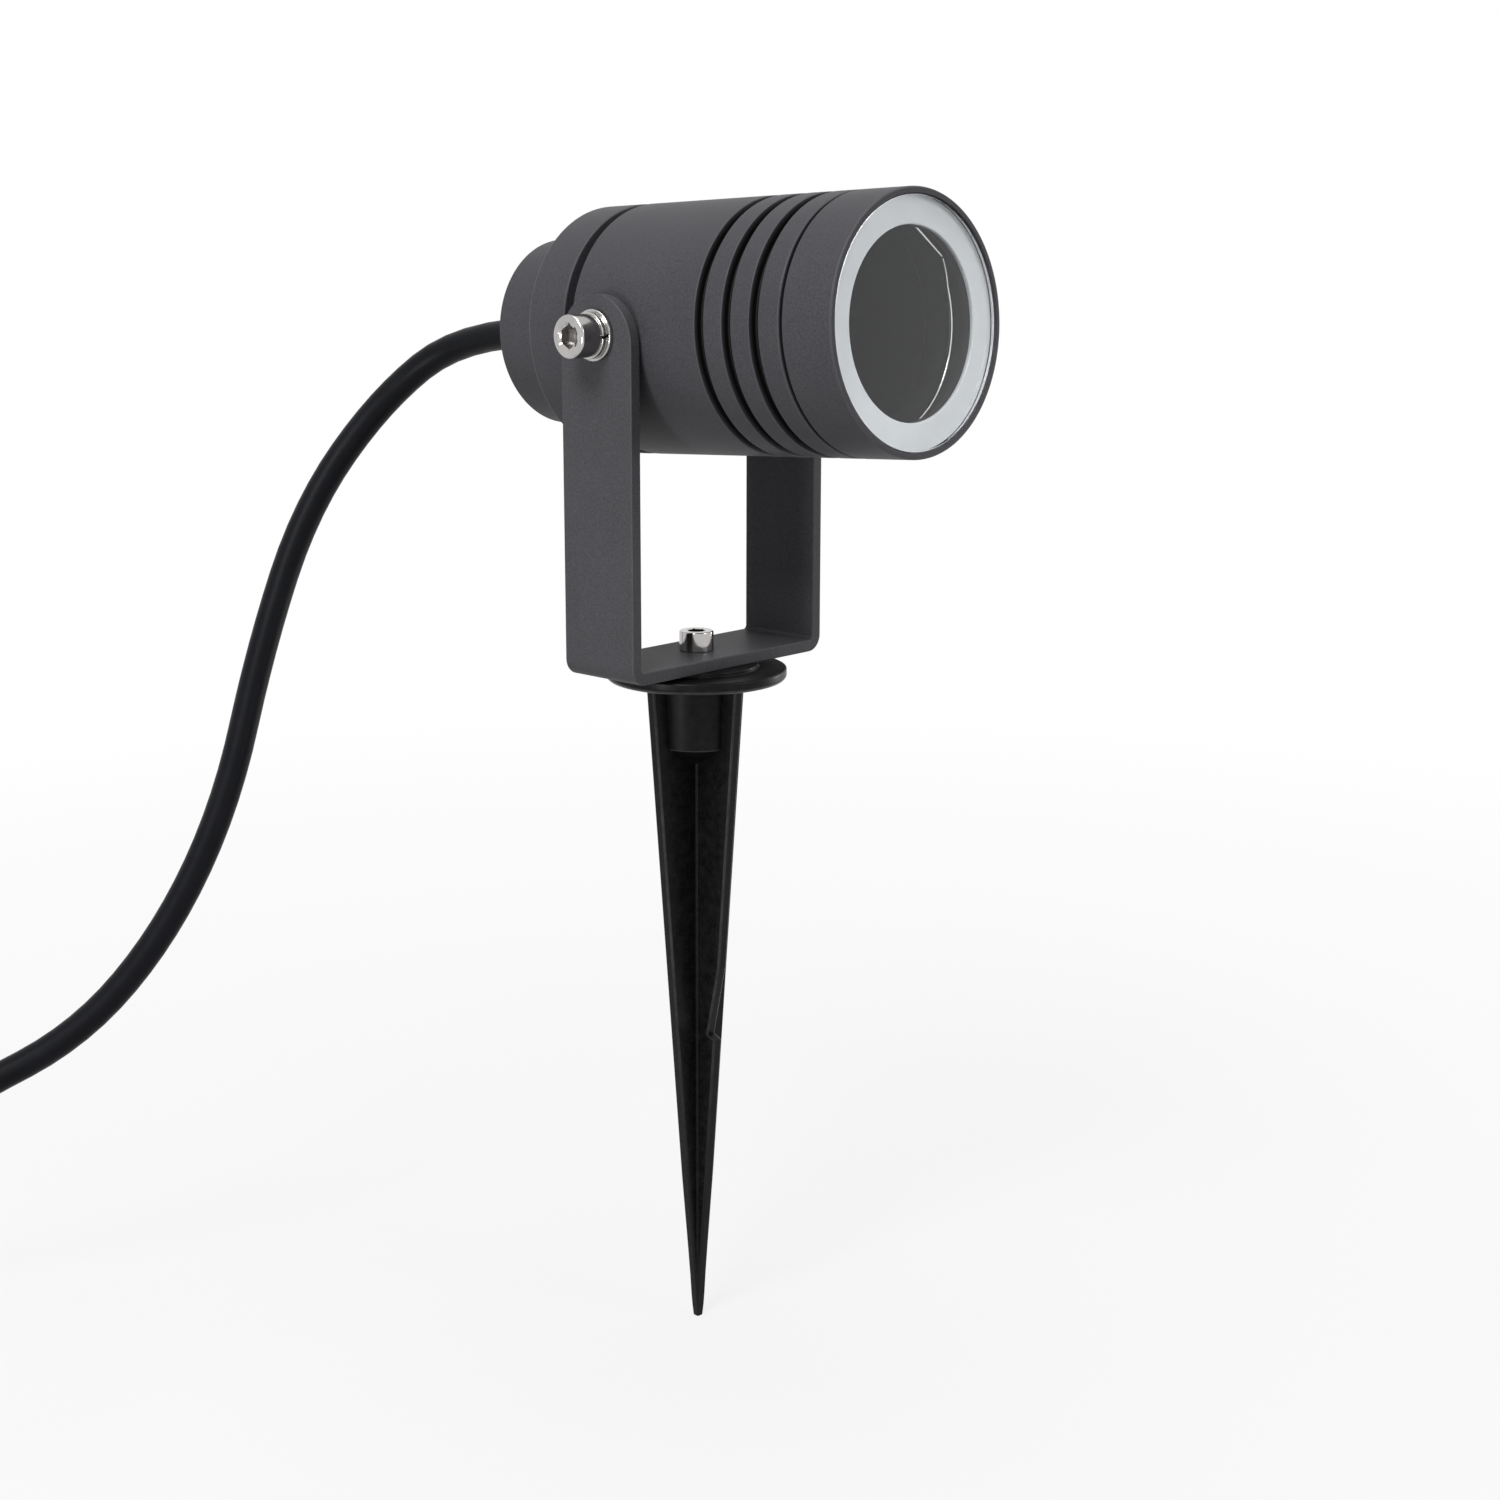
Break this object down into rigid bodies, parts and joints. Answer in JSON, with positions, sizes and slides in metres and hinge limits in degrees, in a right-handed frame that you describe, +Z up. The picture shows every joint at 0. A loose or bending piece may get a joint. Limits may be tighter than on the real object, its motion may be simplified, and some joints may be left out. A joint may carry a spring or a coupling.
{
  "type": "garden spike spotlight",
  "caption": "Round garden spotlight with a finned barrel in a tilting U-bracket on a ribbed ground spike, with a cable gland and a flexible cable.",
  "frame": {"origin": "the tip of the ground spike, on its axis", "axes": "+Z up along the spike, the lamp shines towards -Y at 3.3 degrees above level, the cable leaves towards +Y, X along the tilt pivot"},
  "size_m": [0.3148, 0.2342, 0.2907],
  "materials": {
    "body_finish": "matte dark grey powder coat",
    "bracket_finish": "matte dark grey powder coat",
    "stainless": "satin",
    "spring_steel": "satin",
    "spike_plastic": "satin black",
    "brass": "satin",
    "tinned_copper": "satin",
    "cable_rubber": "matte black",
    "seal_rubber": "matte black",
    "silicone": "pale grey-green, matte",
    "gland_nylon": "matte black",
    "tie_nylon": "matte black",
    "fibre": "matte",
    "glass": "clear",
    "ceramic": "unglazed",
    "terminal_plastic": "matte white",
    "sleeve_white": "matte",
    "core_brown": "satin",
    "core_blue": "satin",
    "core_green": "satin"
  },
  "bodies": {
    "spike": {"ground_spike": "spike_plastic", "spike_insert": "brass"},
    "base_screw": {"base_screw": "stainless"},
    "bracket": {"u_bracket": "bracket_finish", "supply_cable": "cable_rubber", "cable_coil": "cable_rubber", "cable_tie": "tie_nylon", "live_end": "core_brown", "neutral_end": "core_blue", "earth_end": "core_green", "core_ferrules": "tinned_copper"},
    "side_screw_left": {"side_screw_left": "stainless"},
    "side_screw_right": {"side_screw_right": "stainless"},
    "glazing": {"front_glass": "glass", "glass_gasket": "silicone"},
    "bezel": {"front_bezel": "body_finish", "lamp_retaining_ring": "spring_steel"},
    "head": {"flat_washers": "stainless", "friction_washers": "fibre", "spring_washer_left": "spring_steel", "spring_washer_right": "spring_steel", "barrel": "body_finish", "rear_cover": "body_finish", "rear_o_ring": "seal_rubber", "bezel_o_ring": "seal_rubber", "lampholder": "ceramic", "lampholder_contacts": "brass", "lampholder_strap": "stainless", "strap_screws": "stainless", "holder_screws": "stainless", "earth_tag": "tinned_copper", "earth_screw": "brass", "earth_wire": "core_green", "terminal_block": "terminal_plastic", "terminal_screws": "brass", "live_core": "core_brown", "neutral_core": "core_blue", "earth_core": "core_green", "holder_leads": "sleeve_white", "gland_body": "gland_nylon", "gland_seal": "seal_rubber", "gland_nut": "gland_nylon", "gland_lock_nut": "gland_nylon", "cable_tail": "cable_rubber"}
  },
  "joints": [
    {"name": "base_screw_turn", "type": "hinge", "parent": "spike", "child": "base_screw", "pos_m": [0, 0, 0.1783], "axis": [0, 0, 1], "range_deg": [0, 360]},
    {"name": "bracket_swivel", "type": "hinge", "parent": "spike", "child": "bracket", "pos_m": [0, 0, 0.1753], "axis": [0, 0, 1], "range_deg": [-170, 170]},
    {"name": "head_tilt", "type": "hinge", "parent": "bracket", "child": "head", "pos_m": [0, 0, 0.2568], "axis": [-1, 0, 0], "range_deg": [-60, 85], "deforming": ["supply_cable"]},
    {"name": "left_screw_turn", "type": "hinge", "parent": "head", "child": "side_screw_left", "pos_m": [0, 0, 0.2568], "axis": [-1, 0, 0], "range_deg": [0, 360]},
    {"name": "right_screw_turn", "type": "hinge", "parent": "head", "child": "side_screw_right", "pos_m": [0, 0, 0.2568], "axis": [1, 0, 0], "range_deg": [0, 360]},
    {"name": "bezel_travel", "type": "slide", "parent": "head", "child": "glazing", "axis": [0, -0.9983, 0.0576], "range_m": [0, 0.0055]},
    {"name": "bezel_turn", "type": "hinge", "parent": "glazing", "child": "bezel", "pos_m": [0, -0.05441, 0.25994], "axis": [0, -0.9983, 0.0576], "range_deg": [0, 1320]}
  ],
  "couplings": [
    {"joint": "bezel_travel", "follows": "bezel_turn", "m_per_rad": 0.00023873}
  ]
}
